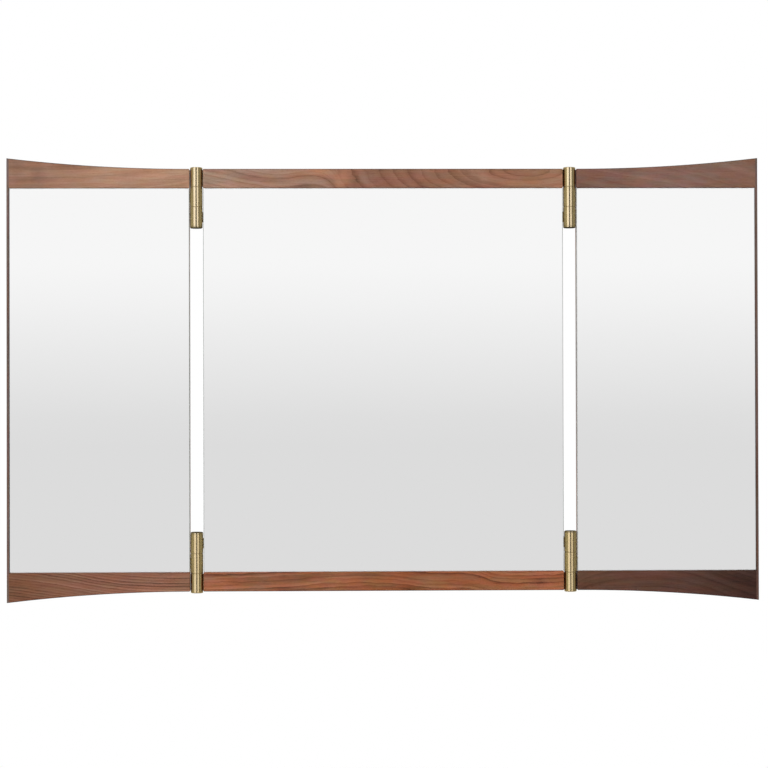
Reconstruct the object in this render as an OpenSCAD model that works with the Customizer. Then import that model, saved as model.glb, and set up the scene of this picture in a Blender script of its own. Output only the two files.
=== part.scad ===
// Three-panel wall mirror with hinged wings.
// The wall plane is y = 0 and the front faces -Y. The origin is midway between the two hanging keyholes.
// Modules draw the right-hand, upper piece about the panels' mid-height, and placed() mirrors it into place.

/* [Panels] */
// Width of the centre panel
centre_w = 623; // [520:1:760]
// Width of each wing, with its edge strip
wing_w = 315; // [240:1:400]
// Height of the panels at the hinges
panel_h = 730; // [600:1:900]
// How far a wing's outer corners stand above and below the height at the hinges
wing_rise = 18.5; // [6:0.5:36]
// Height of the rails at the hinges
rail_h = 33; // [31:0.5:50]
// Thickness of the rails from front to back
rail_t = 20; // [19:0.5:26]
// Width of the eased edges on the walnut
ease = 0.8; // [0.3:0.1:1.5]

/* [Stiles, boards and strips] */
// Width of the stiles behind the glass
stile_w = 34; // [34:1:60]
// Thickness of the backing boards
board_t = 5; // [4:0.25:5.5]
// Depth of the groove along the rails for the boards and the stub tenons
groove_d = 7; // [5:0.5:8]
// Width of the rebate in the stiles that a board lies in
rebate_w = 8; // [4:0.5:9]
// Thickness of the strip along a wing's outer edge
strip_t = 4; // [3:0.5:8]
// Gap left for glue around tenons, tangs and boards
glue_gap = 0.1; // [0.05:0.05:0.2]

/* [Mirror glass] */
// Thickness of the glass
glass_t = 4; // [3:0.5:5]
// How far the glass lies behind the front of the rails
glass_recess = 1.5; // [0.5:0.25:2]
// Gap between the glass and the wood around it
glass_gap = 0.3; // [0.2:0.1:0.8]
// Width of the polished arris around the front of the glass
arris = 1; // [0.4:0.1:1.5]

/* [Hinge barrels] */
// Diameter of the barrels
barrel_d = 21.5; // [19:0.5:28]
// Gap between a barrel and the panels' edges
barrel_gap = 1.05; // [0.5:0.05:1.5]
// How far a barrel's axis lies in front of the middle of the rails' thickness
barrel_forward = 4; // [0:0.25:4.5]
// How far a barrel stands above or below the rail
barrel_proud = 2.8; // [1:0.2:4]
// Height of the knuckle level with the rail
outer_h = 33.6; // [32:0.2:40]
// Height of the knuckle that carries the wing
middle_h = 33.9; // [24:0.1:44]
// Height of the knuckle at the inner end
inner_h = 33.4; // [24:0.1:44]
// Radius at the barrel's outer end
end_round = 1.6; // [0.5:0.1:3]
// Chamfer on both sides of each seam in the barrel
seam_ease = 0.35; // [0.1:0.05:0.8]

/* [Hinge pins, washers and tangs] */
// Diameter of the pin
pin_d = 8; // [6:0.5:10]
// Radial running clearance of the pin
pin_play = 0.04; // [0.02:0.01:0.08]
// How far the pin reaches into the outer knuckle
pin_reach = 22; // [12:0.5:26]
// Thickness of the pin's head
head_t = 3; // [2:0.25:5]
// Chamfer on the head's outer rim
head_ease = 1.4; // [0.5:0.1:1.5]
// Distance across the flats of the socket in the pin's head
socket_af = 5; // [3:0.5:6]
// Depth of that socket
socket_d = 2; // [1:0.25:3]
// Thickness of the thrust washers
washer_t = 0.6; // [0.4:0.1:1.2]
// How far the washers lie inside the barrel's surface
washer_inset = 0.5; // [0.2:0.1:1.5]
// Play along the pin between the middle knuckle and each washer
thrust_play = 0.1; // [0.05:0.05:0.2]
// Thickness of the tangs
tang_t = 4; // [3:0.5:5]
// Length of a tang inside the wood
tang_l = 24; // [22:0.5:24.5]
// Height of the tangs
tang_h = 18; // [12:0.5:19]

/* [Hinge screws] */
// Diameter of the screws through the tangs
screw_d = 4; // [3:0.25:4.5]
// Diameter of their countersunk heads
screw_head_d = 7.5; // [6:0.25:8.5]
// Distance from the panel's edge to the first screw
screw_inset = 8; // [7:0.5:9]
// Distance between a tang's two screws
screw_pitch = 10; // [9:0.5:11]
// Radial clearance of a screw in the wood
screw_gap = 0.15; // [0.1:0.05:0.3]
// Radial clearance of a screw in a tang, a plate or its pilot hole
thread_gap = 0.03; // [0.02:0.01:0.05]
// How far the heads lie below the wood
head_sink = 0.2; // [0.1:0.05:0.5]

/* [Hanging plates] */
// Distance from the centre panel's side to a hanging keyhole
keyhole_inset = 111.5; // [60:0.5:170]
// Diameter of a keyhole's entry
keyhole_d = 10; // [8:0.5:11]
// Width of a keyhole's slot
keyslot_w = 5; // [4:0.25:6]
// How far the slot rises above the entry
keyslot_rise = 9; // [8:0.5:11]
// Width of a hanging plate
plate_w = 60; // [52:1:80]
// Height of a hanging plate
plate_h = 26; // [25:0.5:30]
// Thickness of the plates and bumpers, which is the gap between panels and wall
standoff = 3; // [2:0.25:5]
// Radius of a plate's corners
plate_r = 4; // [2:0.5:6]
// Depth of the pocket behind a keyhole
pocket_d = 11; // [8:0.5:13]
// Extra width of the pocket around the keyhole
pocket_margin = 1; // [0.5:0.25:1.5]
// Distance between a plate's screws
plate_screw_pitch = 46; // [40:1:48]
// Diameter of a plate's screws
plate_screw_d = 3.5; // [3:0.25:4]
// Diameter of their countersunk heads
plate_head_d = 6.5; // [5.5:0.25:8]
// Length of a plate's screws
plate_screw_l = 15; // [10:0.5:18]

/* [Wall bumpers] */
// Diameter of the rubber bumpers
bumper_d = 14; // [10:0.5:20]
// Radius at a bumper's rim
bumper_round = 1; // [0.5:0.25:1.5]
// Distance from a panel's side to the middle of a bumper
bumper_inset = 40; // [20:1:80]

/* [Hidden] */
half_h = panel_h / 2;
inner_z = half_h - rail_h;
back_y = -standoff;
front_y = back_y - rail_t;
glass_front_y = front_y + glass_recess;
glass_back_y = glass_front_y + glass_t;
board_back_y = glass_back_y + board_t;
rail_mid_y = back_y - rail_t / 2;
hinge_y = rail_mid_y - barrel_forward;

barrel_r = barrel_d / 2;
edge_reach = barrel_r + barrel_gap;
centre_x = centre_w / 2;
hinge_x = centre_x + edge_reach;
wing_x = hinge_x + edge_reach;
strip_u = wing_w - strip_t;
arc_r = (pow(wing_w, 2) + pow(wing_rise, 2)) / (2 * wing_rise);

// Heights along a barrel, counted inwards from its outer end
outer_seam = outer_h;
middle_top = outer_seam + washer_t + thrust_play;
middle_seam = middle_top + middle_h;
inner_top = middle_seam + thrust_play + washer_t;
head_seam = inner_top + inner_h;
barrel_l = head_seam + head_t;
barrel_z = half_h + barrel_proud;
outer_mid = outer_h / 2;
middle_mid = middle_top + middle_h / 2;
inner_mid = inner_top + inner_h / 2;

// Places of a tang's two screws, as distances from the panel's edge
tang_screws = [screw_inset, screw_inset + screw_pitch];
// Length of a hinge screw: from its sunk head through the tang
tang_screw_l = rail_t / 2 + tang_t / 2 - head_sink - glue_gap;
// Recess of a screw head, as shares of the head's diameter and of its height
drive_length = 0.55;
drive_width = 0.14;
drive_depth = 0.8;

// The keyhole figure is centred on its plate, and the plate on the rail
plate_z = keyslot_rise / 2;
mid_z = plate_z + rail_h / 2 - half_h;
keyhole_x = centre_x - keyhole_inset;

over = 1;
arc_fn = 720;
round_fn = 96;
small_fn = 48;

walnut = [0.55, 0.39, 0.31];
dark_walnut = [0.40, 0.31, 0.28];
ply = [0.76, 0.66, 0.50];
silver = [0.86, 0.87, 0.88];
brass = [0.72, 0.62, 0.40];
steel = [0.62, 0.62, 0.63];
black = [0.12, 0.12, 0.12];

RIGHT = 1;
LEFT = -1;
TOP = 1;
BOTTOM = -1;

// Mirrors a right-hand, upper piece to its side and end, at the panels' real height
module placed(side = RIGHT, end = TOP) {
    translate([0, 0, mid_z])
        mirrored_when(side == LEFT, [1, 0, 0])
            mirrored_when(end == BOTTOM, [0, 0, 1])
                children();
}

module mirrored_when(flip, normal) {
    if (flip) mirror(normal) children();
    else children();
}

// Extrudes an outline drawn in x and z from the plane y = back towards the front
module from_front(back, depth) {
    translate([0, back, 0])
        rotate([90, 0, 0])
            linear_extrude(depth)
                children();
}

// Extrudes a section drawn in y and z along x
module along_x(from, length) {
    translate([from, 0, 0])
        rotate([90, 0, 90])
            linear_extrude(length)
                children();
}

// Rectangle with every corner cut at 45 degrees
module eased_rect(low, high, cut) {
    polygon([
        [low[0] + cut, low[1]], [high[0] - cut, low[1]],
        [high[0], low[1] + cut], [high[0], high[1] - cut],
        [high[0] - cut, high[1]], [low[0] + cut, high[1]],
        [low[0], high[1] - cut], [low[0], low[1] + cut]
    ]);
}

// Block with all of its edges eased
module eased_block(low, high, cut) {
    intersection() {
        translate([0, 0, low[2]])
            linear_extrude(high[2] - low[2])
                eased_rect([low[0], low[1]], [high[0], high[1]], cut);
        from_front(high[1], high[1] - low[1])
            eased_rect([low[0], low[2]], [high[0], high[2]], cut);
        along_x(low[0], high[0] - low[0])
            eased_rect([low[1], low[2]], [high[1], high[2]], cut);
    }
}

module block(low, high) {
    translate(low)
        cube(high - low);
}

// Slot with two round ends that rises from z = 0
module slot_outline(width, rise) {
    circle(d = width, $fn = small_fn);
    translate([-width / 2, 0])
        square([width, rise]);
    translate([0, rise])
        circle(d = width, $fn = small_fn);
}

// Countersunk screw pointing to the front, head at the plane y = 0, grown by a clearance
module screw_body(shank_d, head_d, length, gap = 0) {
    head_l = (head_d - shank_d) / 2;
    rotate([90, 0, 0]) {
        cylinder(h = head_l, d1 = head_d + 2 * gap, d2 = shank_d + 2 * gap, $fn = small_fn);
        cylinder(h = length, d = shank_d + 2 * gap, $fn = small_fn);
    }
}

module screw(shank_d, head_d, length) {
    drive_l = head_d * drive_length;
    drive_w = head_d * drive_width;
    drive_d = (head_d - shank_d) / 2 * drive_depth;
    difference() {
        screw_body(shank_d, head_d, length);
        for (turn = [0, 90])
            rotate([0, turn, 0])
                translate([-drive_l / 2, -drive_d, -drive_w / 2])
                    cube([drive_l, drive_d + over, drive_w]);
    }
}

// Hole that a countersunk screw leaves in wood or metal, open to the back
module screw_hole(shank_d, head_d, length, sink, gap) {
    translate([0, -sink, 0])
        screw_body(shank_d, head_d, length, gap);
    rotate([90, 0, 0])
        translate([0, 0, -over])
            cylinder(h = sink + over, d = head_d + 2 * gap, $fn = small_fn);
}

// Slot for a tang and the holes for its screws, with the panel's edge at x = edge.
// Inwards is -1 where the wood lies towards -X.
module tang_mortise(edge, inwards, depth_along) {
    grown_l = tang_l + glue_gap;
    translate([edge, rail_mid_y, barrel_z - depth_along]) {
        mirrored_when(inwards < 0, [1, 0, 0])
            translate([-over, -tang_t / 2 - glue_gap, -tang_h / 2 - glue_gap])
                cube([grown_l + over, tang_t + 2 * glue_gap, tang_h + 2 * glue_gap]);
        for (reach = tang_screws)
            translate([inwards * reach, rail_t / 2, 0])
                screw_hole(screw_d, screw_head_d, rail_t / 2, head_sink, screw_gap);
    }
}

// Groove along a rail's inner edge
module rail_groove(from, to) {
    block([from - over, glass_back_y - glue_gap, inner_z - over],
          [to + over, board_back_y + glue_gap, inner_z + groove_d]);
}

// Centre panel
module centre_rail() {
    difference() {
        eased_block([-centre_x, front_y, inner_z], [centre_x, back_y, half_h], ease);
        rail_groove(-centre_x, centre_x);
        for (side = [LEFT, RIGHT])
            tang_mortise(side * centre_x, -side, outer_mid);
    }
}

module keyhole_pocket() {
    translate([0, 0, -mid_z])
        from_front(back_y + over, pocket_d + over)
            slot_outline(keyhole_d + 2 * pocket_margin, keyslot_rise);
}

module centre_top_rail() {
    color(walnut) placed()
        difference() {
            centre_rail();
            for (side = [LEFT, RIGHT])
                translate([side * keyhole_x, 0, 0]) {
                    keyhole_pocket();
                    for (end = [LEFT, RIGHT])
                        translate([end * plate_screw_pitch / 2, 0, plate_z - mid_z])
                            rotate([90, 0, 0])
                                cylinder(h = plate_screw_l + over, d = plate_screw_d + 2 * thread_gap,
                                         $fn = small_fn);
                }
        }
}

module centre_bottom_rail() {
    color(walnut) placed(RIGHT, BOTTOM) centre_rail();
}

// Stile with a stub tenon at each end and a rebate for the board.
// The edge is the side away from the board, and inwards points from it to the board.
module stile(edge, inwards) {
    tenon_w = stile_w - rebate_w;
    tenon_l = groove_d - 2 * glue_gap;
    translate([edge, 0, 0])
        mirrored_when(inwards < 0, [1, 0, 0])
            difference() {
                union() {
                    block([0, glass_back_y, -inner_z], [stile_w, back_y, inner_z]);
                    block([0, glass_back_y, -inner_z - tenon_l],
                          [tenon_w, board_back_y, inner_z + tenon_l]);
                }
                block([tenon_w, glass_back_y - over, -inner_z - over],
                      [stile_w + over, board_back_y + glue_gap, inner_z + over]);
            }
}

module hinged_stile(edge, inwards, knuckle_mid) {
    difference() {
        stile(edge, inwards);
        tang_mortise(edge, inwards, knuckle_mid);
        mirror([0, 0, 1]) tang_mortise(edge, inwards, knuckle_mid);
    }
}

module centre_right_stile() {
    color(dark_walnut) placed(RIGHT) hinged_stile(centre_x, -1, inner_mid);
}

module centre_left_stile() {
    color(dark_walnut) placed(LEFT) hinged_stile(centre_x, -1, inner_mid);
}

// Backing board between two stiles whose outer edges are at x = from and x = to
module backing_board(from, to) {
    side_gap = stile_w - rebate_w + glue_gap;
    reach = inner_z + groove_d - 2 * glue_gap;
    color(ply)
        block([from + side_gap, glass_back_y, -reach], [to - side_gap, board_back_y, reach]);
}

module centre_backing_board() {
    placed() backing_board(-centre_x, centre_x);
}

// Mirror glass with a polished arris around its front
module mirror_glass(from, to) {
    reach = inner_z - glass_gap;
    front = glass_front_y;
    color(silver)
        intersection() {
            translate([0, 0, -reach])
                linear_extrude(2 * reach)
                    polygon([
                        [from, glass_back_y], [from, front + arris], [from + arris, front],
                        [to - arris, front], [to, front + arris], [to, glass_back_y]
                    ]);
            along_x(from, to - from)
                polygon([
                    [glass_back_y, -reach], [front + arris, -reach], [front, -reach + arris],
                    [front, reach - arris], [front + arris, reach], [glass_back_y, reach]
                ]);
        }
}

module centre_mirror_glass() {
    placed() mirror_glass(-centre_x, centre_x);
}

// Wings
// Everything beyond a wing's curved edge: a disc tangent to the panel's height at the hinge
module beyond_arc() {
    translate([wing_x, half_h + arc_r])
        circle(r = arc_r, $fn = arc_fn);
}

// Ring that eases the curved edge on one face of the wing
module arc_ease() {
    translate([wing_x, 0, half_h + arc_r])
        rotate([90, 0, 0])
            rotate_extrude($fn = arc_fn)
                polygon([
                    [arc_r - over, -over], [arc_r + ease + over, -over], [arc_r - over, ease + over]
                ]);
}

// Cuts the eased edges along a wing's upper arc, front and back
module arc_eases() {
    translate([0, back_y, 0]) arc_ease();
    translate([0, front_y, 0]) mirror([0, 1, 0]) arc_ease();
}

// The rail's end at the strip stays square, because the strip is glued to it
module wing_rail() {
    tall = half_h + wing_rise + over;
    end_x = wing_x + strip_u;
    difference() {
        intersection() {
            from_front(back_y, rail_t)
                difference() {
                    polygon([
                        [wing_x, inner_z + ease], [wing_x + ease, inner_z], [end_x, inner_z],
                        [end_x, tall], [wing_x + ease, tall], [wing_x + ease, half_h],
                        [wing_x, half_h - ease]
                    ]);
                    beyond_arc();
                }
            translate([0, 0, inner_z])
                linear_extrude(tall - inner_z)
                    polygon([
                        [wing_x, front_y + ease], [wing_x + ease, front_y], [end_x, front_y],
                        [end_x, back_y], [wing_x + ease, back_y], [wing_x, back_y - ease]
                    ]);
            along_x(wing_x, strip_u)
                polygon([
                    [front_y, tall], [front_y, inner_z + ease], [front_y + ease, inner_z],
                    [back_y - ease, inner_z], [back_y, inner_z + ease], [back_y, tall]
                ]);
        }
        arc_eases();
        rail_groove(wing_x, end_x);
    }
}

module edge_strip() {
    tall = half_h + wing_rise + over;
    from = wing_x + strip_u;
    to = wing_x + wing_w;
    color(dark_walnut)
        difference() {
            intersection() {
                from_front(back_y, rail_t)
                    difference() {
                        translate([from, -tall])
                            square([strip_t, 2 * tall]);
                        beyond_arc();
                        mirror([0, 1]) beyond_arc();
                    }
                translate([0, 0, -tall])
                    linear_extrude(2 * tall)
                        polygon([
                            [from, front_y], [to - ease, front_y], [to, front_y + ease],
                            [to, back_y - ease], [to - ease, back_y], [from, back_y]
                        ]);
            }
            arc_eases();
            mirror([0, 0, 1]) arc_eases();
        }
}

module left_wing_top_rail() { color(walnut) placed(LEFT) wing_rail(); }
module left_wing_bottom_rail() { color(walnut) placed(LEFT, BOTTOM) wing_rail(); }
module right_wing_top_rail() { color(walnut) placed(RIGHT) wing_rail(); }
module right_wing_bottom_rail() { color(walnut) placed(RIGHT, BOTTOM) wing_rail(); }

module wing_inner_stile() { color(dark_walnut) hinged_stile(wing_x, 1, middle_mid); }
module wing_outer_stile() { color(dark_walnut) stile(wing_x + strip_u, -1); }
module left_wing_inner_stile() { placed(LEFT) wing_inner_stile(); }
module left_wing_outer_stile() { placed(LEFT) wing_outer_stile(); }
module right_wing_inner_stile() { placed(RIGHT) wing_inner_stile(); }
module right_wing_outer_stile() { placed(RIGHT) wing_outer_stile(); }

module left_wing_edge_strip() { placed(LEFT) edge_strip(); }
module right_wing_edge_strip() { placed(RIGHT) edge_strip(); }
module left_wing_backing_board() { placed(LEFT) backing_board(wing_x, wing_x + strip_u); }
module right_wing_backing_board() { placed(RIGHT) backing_board(wing_x, wing_x + strip_u); }
module left_wing_mirror_glass() { placed(LEFT) mirror_glass(wing_x, wing_x + strip_u - glass_gap); }
module right_wing_mirror_glass() { placed(RIGHT) mirror_glass(wing_x, wing_x + strip_u - glass_gap); }

// Barrel hinges
// These are drawn with the pin's axis at x = 0 and the barrel's outer end at z = 0.
module hinge_at(side, end) {
    placed(side, end)
        translate([hinge_x, hinge_y, barrel_z])
            children();
}

// Half section of a barrel piece with its upper and lower rims eased
module rim_section(radius, low, high, low_ease, high_ease) {
    polygon([
        [0, low], [radius - low_ease, low], [radius, low + low_ease],
        [radius, high - high_ease], [radius - high_ease, high], [0, high]
    ]);
}

// Flat tang from behind the pin into the middle of the wood, towards -X or +X
module tang(inwards, middle) {
    length = edge_reach + tang_l;
    low_x = inwards < 0 ? -length : 0;
    translate([low_x, barrel_forward - tang_t / 2, -middle - tang_h / 2])
        cube([length, tang_t, tang_h]);
}

// Shoulder that closes the gap between the outer knuckle and the end of the rail
module shoulder(inwards) {
    reach = edge_reach - glue_gap;
    low_x = inwards < 0 ? -reach : 0;
    low_z = seam_ease - outer_seam;
    translate([low_x, barrel_forward - tang_t / 2, low_z])
        cube([reach, tang_t, -barrel_proud - ease - low_z]);
}

module tang_holes(inwards, middle) {
    for (reach = tang_screws)
        translate([inwards * (edge_reach + reach), barrel_forward, -middle])
            rotate([90, 0, 0])
                cylinder(h = tang_t + 2 * over, d = screw_d + 2 * thread_gap, center = true, $fn = small_fn);
}

module pin_bore(low, high) {
    translate([0, 0, low])
        cylinder(h = high - low, r = pin_d / 2 + pin_play, $fn = small_fn);
}

// Knuckle level with the rail: rounded at its outer end, with a blind bore for the pin
module outer_knuckle() {
    color(brass)
        difference() {
            union() {
                rotate_extrude($fn = round_fn) {
                    rim_section(barrel_r, -outer_seam, -end_round, seam_ease, 0);
                    translate([0, -end_round - over])
                        square([barrel_r - end_round, end_round + over]);
                    intersection() {
                        translate([barrel_r - end_round, -end_round])
                            circle(r = end_round, $fn = small_fn);
                        translate([0, -end_round - over])
                            square([barrel_r, end_round + over]);
                    }
                }
                shoulder(-1);
                tang(-1, outer_mid);
            }
            pin_bore(-outer_seam - over, -outer_seam + pin_reach + thrust_play);
            tang_holes(-1, outer_mid);
        }
}

// Knuckle open at both ends, with its tang towards the panel that it belongs to
module through_knuckle(top, length, inwards) {
    color(brass)
        difference() {
            union() {
                rotate_extrude($fn = round_fn)
                    rim_section(barrel_r, -top - length, -top, seam_ease, seam_ease);
                tang(inwards, top + length / 2);
            }
            pin_bore(-top - length - over, -top + over);
            tang_holes(inwards, top + length / 2);
        }
}

// Pin with a full-width head that closes the barrel's inner end
module hinge_pin() {
    color(brass)
        difference() {
            union() {
                rotate_extrude($fn = round_fn)
                    rim_section(barrel_r, -barrel_l, -head_seam, head_ease, seam_ease);
                translate([0, 0, -barrel_l])
                    cylinder(h = barrel_l - outer_seam + pin_reach, d = pin_d, $fn = small_fn);
            }
            translate([0, 0, -barrel_l - over])
                cylinder(h = socket_d + over, d = socket_af / cos(30), $fn = 6);
        }
}

module thrust_washers() {
    color(brass)
        for (top = [outer_seam, middle_seam + thrust_play])
            translate([0, 0, -top - washer_t])
                difference() {
                    cylinder(h = washer_t, r = barrel_r - washer_inset, $fn = round_fn);
                    translate([0, 0, -over])
                        cylinder(h = washer_t + 2 * over, r = pin_d / 2 + pin_play, $fn = small_fn);
                }
}

// Screws through the tangs, from the back
module tang_screw_set(inwards, middles) {
    color(steel)
        for (middle = middles, reach = tang_screws)
            translate([inwards * (edge_reach + reach), barrel_forward + rail_t / 2 - head_sink, -middle])
                screw(screw_d, screw_head_d, tang_screw_l);
}

module middle_knuckle() { through_knuckle(middle_top, middle_h, 1); }
module inner_knuckle() { through_knuckle(inner_top, inner_h, -1); }
module centre_screws() { tang_screw_set(-1, [outer_mid, inner_mid]); }
module wing_screws() { tang_screw_set(1, [middle_mid]); }

module top_left_outer_knuckle() { hinge_at(LEFT, TOP) outer_knuckle(); }
module top_left_middle_knuckle() { hinge_at(LEFT, TOP) middle_knuckle(); }
module top_left_inner_knuckle() { hinge_at(LEFT, TOP) inner_knuckle(); }
module top_left_hinge_pin() { hinge_at(LEFT, TOP) hinge_pin(); }
module top_left_thrust_washers() { hinge_at(LEFT, TOP) thrust_washers(); }
module top_left_centre_screws() { hinge_at(LEFT, TOP) centre_screws(); }
module top_left_wing_screws() { hinge_at(LEFT, TOP) wing_screws(); }

module top_right_outer_knuckle() { hinge_at(RIGHT, TOP) outer_knuckle(); }
module top_right_middle_knuckle() { hinge_at(RIGHT, TOP) middle_knuckle(); }
module top_right_inner_knuckle() { hinge_at(RIGHT, TOP) inner_knuckle(); }
module top_right_hinge_pin() { hinge_at(RIGHT, TOP) hinge_pin(); }
module top_right_thrust_washers() { hinge_at(RIGHT, TOP) thrust_washers(); }
module top_right_centre_screws() { hinge_at(RIGHT, TOP) centre_screws(); }
module top_right_wing_screws() { hinge_at(RIGHT, TOP) wing_screws(); }

module bottom_left_outer_knuckle() { hinge_at(LEFT, BOTTOM) outer_knuckle(); }
module bottom_left_middle_knuckle() { hinge_at(LEFT, BOTTOM) middle_knuckle(); }
module bottom_left_inner_knuckle() { hinge_at(LEFT, BOTTOM) inner_knuckle(); }
module bottom_left_hinge_pin() { hinge_at(LEFT, BOTTOM) hinge_pin(); }
module bottom_left_thrust_washers() { hinge_at(LEFT, BOTTOM) thrust_washers(); }
module bottom_left_centre_screws() { hinge_at(LEFT, BOTTOM) centre_screws(); }
module bottom_left_wing_screws() { hinge_at(LEFT, BOTTOM) wing_screws(); }

module bottom_right_outer_knuckle() { hinge_at(RIGHT, BOTTOM) outer_knuckle(); }
module bottom_right_middle_knuckle() { hinge_at(RIGHT, BOTTOM) middle_knuckle(); }
module bottom_right_inner_knuckle() { hinge_at(RIGHT, BOTTOM) inner_knuckle(); }
module bottom_right_hinge_pin() { hinge_at(RIGHT, BOTTOM) hinge_pin(); }
module bottom_right_thrust_washers() { hinge_at(RIGHT, BOTTOM) thrust_washers(); }
module bottom_right_centre_screws() { hinge_at(RIGHT, BOTTOM) centre_screws(); }
module bottom_right_wing_screws() { hinge_at(RIGHT, BOTTOM) wing_screws(); }

// Hanging plates and wall bumpers
module plate_outline() {
    reach = [plate_w / 2 - plate_r, plate_h / 2 - plate_r];
    square([plate_w, 2 * reach[1]], center = true);
    square([2 * reach[0], plate_h], center = true);
    for (x = [-reach[0], reach[0]], z = [-reach[1], reach[1]])
        translate([x, z])
            circle(r = plate_r, $fn = small_fn);
}

module hanging_plate(x) {
    color(steel)
        translate([x, 0, 0])
            difference() {
                from_front(0, standoff)
                    difference() {
                        translate([0, plate_z])
                            plate_outline();
                        circle(d = keyhole_d, $fn = small_fn);
                        slot_outline(keyslot_w, keyslot_rise);
                    }
                for (side = [LEFT, RIGHT])
                    translate([side * plate_screw_pitch / 2, 0, plate_z])
                        screw_hole(plate_screw_d, plate_head_d, standoff + over, head_sink, thread_gap);
            }
}

module left_hanging_plate() { hanging_plate(-keyhole_x); }
module right_hanging_plate() { hanging_plate(keyhole_x); }

module hanging_plate_screws() {
    color(steel)
        for (plate = [LEFT, RIGHT], side = [LEFT, RIGHT])
            translate([plate * keyhole_x + side * plate_screw_pitch / 2, -head_sink, plate_z])
                screw(plate_screw_d, plate_head_d, plate_screw_l - head_sink);
}

// Rubber bumper with its flat glued to the panel and its face at the wall
module bumper() {
    r = bumper_d / 2;
    color(black)
        translate([0, back_y, 0])
            rotate([-90, 0, 0])
                rotate_extrude($fn = small_fn) {
                    square([r, standoff - bumper_round]);
                    square([r - bumper_round, standoff]);
                    translate([r - bumper_round, standoff - bumper_round])
                        intersection() {
                            circle(r = bumper_round, $fn = small_fn);
                            square(bumper_round);
                        }
                }
}

module centre_wall_bumpers() {
    for (side = [LEFT, RIGHT])
        placed(side, BOTTOM)
            translate([centre_x - bumper_inset, 0, half_h - rail_h / 2])
                bumper();
}

module wing_wall_bumpers(side) {
    for (end = [TOP, BOTTOM])
        placed(side, end)
            translate([wing_x + wing_w - bumper_inset, 0, half_h - rail_h / 2])
                bumper();
}

module left_wing_wall_bumpers() { wing_wall_bumpers(LEFT); }
module right_wing_wall_bumpers() { wing_wall_bumpers(RIGHT); }

centre_top_rail();
centre_bottom_rail();
centre_left_stile();
centre_right_stile();
centre_backing_board();
centre_mirror_glass();
left_wing_top_rail();
left_wing_bottom_rail();
left_wing_inner_stile();
left_wing_outer_stile();
left_wing_edge_strip();
left_wing_backing_board();
left_wing_mirror_glass();
right_wing_top_rail();
right_wing_bottom_rail();
right_wing_inner_stile();
right_wing_outer_stile();
right_wing_edge_strip();
right_wing_backing_board();
right_wing_mirror_glass();
top_left_outer_knuckle();
top_left_middle_knuckle();
top_left_inner_knuckle();
top_left_hinge_pin();
top_left_thrust_washers();
top_left_centre_screws();
top_left_wing_screws();
top_right_outer_knuckle();
top_right_middle_knuckle();
top_right_inner_knuckle();
top_right_hinge_pin();
top_right_thrust_washers();
top_right_centre_screws();
top_right_wing_screws();
bottom_left_outer_knuckle();
bottom_left_middle_knuckle();
bottom_left_inner_knuckle();
bottom_left_hinge_pin();
bottom_left_thrust_washers();
bottom_left_centre_screws();
bottom_left_wing_screws();
bottom_right_outer_knuckle();
bottom_right_middle_knuckle();
bottom_right_inner_knuckle();
bottom_right_hinge_pin();
bottom_right_thrust_washers();
bottom_right_centre_screws();
bottom_right_wing_screws();
left_hanging_plate();
right_hanging_plate();
hanging_plate_screws();
centre_wall_bumpers();
left_wing_wall_bumpers();
right_wing_wall_bumpers();
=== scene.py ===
"""Looks of a three-panel wall mirror with walnut rails, brass barrel hinges and silvered glass.

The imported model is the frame. Each of its solids stays where it is and takes a procedural finish here.
Round it stand a pale floor, a soft lamp, the surroundings that the mirror shows, and a camera at the
photograph's viewing angle.
"""

import logging
import math
from dataclasses import dataclass
from enum import Enum

import bmesh
import bpy
from mathutils import Matrix, Vector


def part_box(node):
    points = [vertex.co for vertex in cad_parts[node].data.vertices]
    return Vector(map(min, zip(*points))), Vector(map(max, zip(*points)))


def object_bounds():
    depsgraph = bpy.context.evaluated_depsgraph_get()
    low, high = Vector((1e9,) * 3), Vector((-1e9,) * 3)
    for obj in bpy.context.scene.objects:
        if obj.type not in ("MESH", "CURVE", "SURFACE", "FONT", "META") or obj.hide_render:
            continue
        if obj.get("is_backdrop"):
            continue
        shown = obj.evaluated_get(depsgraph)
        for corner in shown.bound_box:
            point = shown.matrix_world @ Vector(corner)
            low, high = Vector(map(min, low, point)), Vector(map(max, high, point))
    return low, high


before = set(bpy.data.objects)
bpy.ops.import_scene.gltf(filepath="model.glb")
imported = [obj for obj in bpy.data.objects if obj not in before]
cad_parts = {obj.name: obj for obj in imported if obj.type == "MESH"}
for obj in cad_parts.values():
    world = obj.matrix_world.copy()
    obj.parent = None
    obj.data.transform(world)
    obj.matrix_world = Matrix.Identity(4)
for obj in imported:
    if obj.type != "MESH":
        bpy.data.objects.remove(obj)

Triple = tuple[float, float, float]
Colour = Triple
Span = tuple[float, float]
Points = tuple[tuple[float, float], ...]

MM_PER_METRE = 1000.0
MIX_COLOURS = (6, 7)
MIX_RESULT = 2
WHITE: Colour = (1.0, 1.0, 1.0)
QUARTER_TURN = 0.25

log = logging.getLogger("wall_mirror")


def linear(red: int, green: int, blue: int) -> Colour:
    """Turn a screen colour into the linear one that a shader takes.

    Args:
        red: Red from 0 to 255.
        green: Green from 0 to 255.
        blue: Blue from 0 to 255.

    Returns:
        The same colour in linear light.
    """
    shares = [value / 255 for value in (red, green, blue)]
    toe, slope, offset, power = 0.04045, 12.92, 0.055, 2.4
    return tuple(s / slope if s <= toe else ((s + offset) / (1 + offset)) ** power for s in shares)


def grey(level: float) -> Colour:
    """Give the linear grey of a level from 0 to 1."""
    return (level, level, level)


class Axis(Enum):
    """One axis of the frame."""

    X = 0
    Y = 1
    Z = 2


class Way(Enum):
    """A direction in a board."""

    ALONG = 0
    ACROSS = 1
    DEPTH = 2


class Side(Enum):
    """The left or the right half, as seen from the front."""

    LEFT = "left"
    RIGHT = "right"


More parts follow.
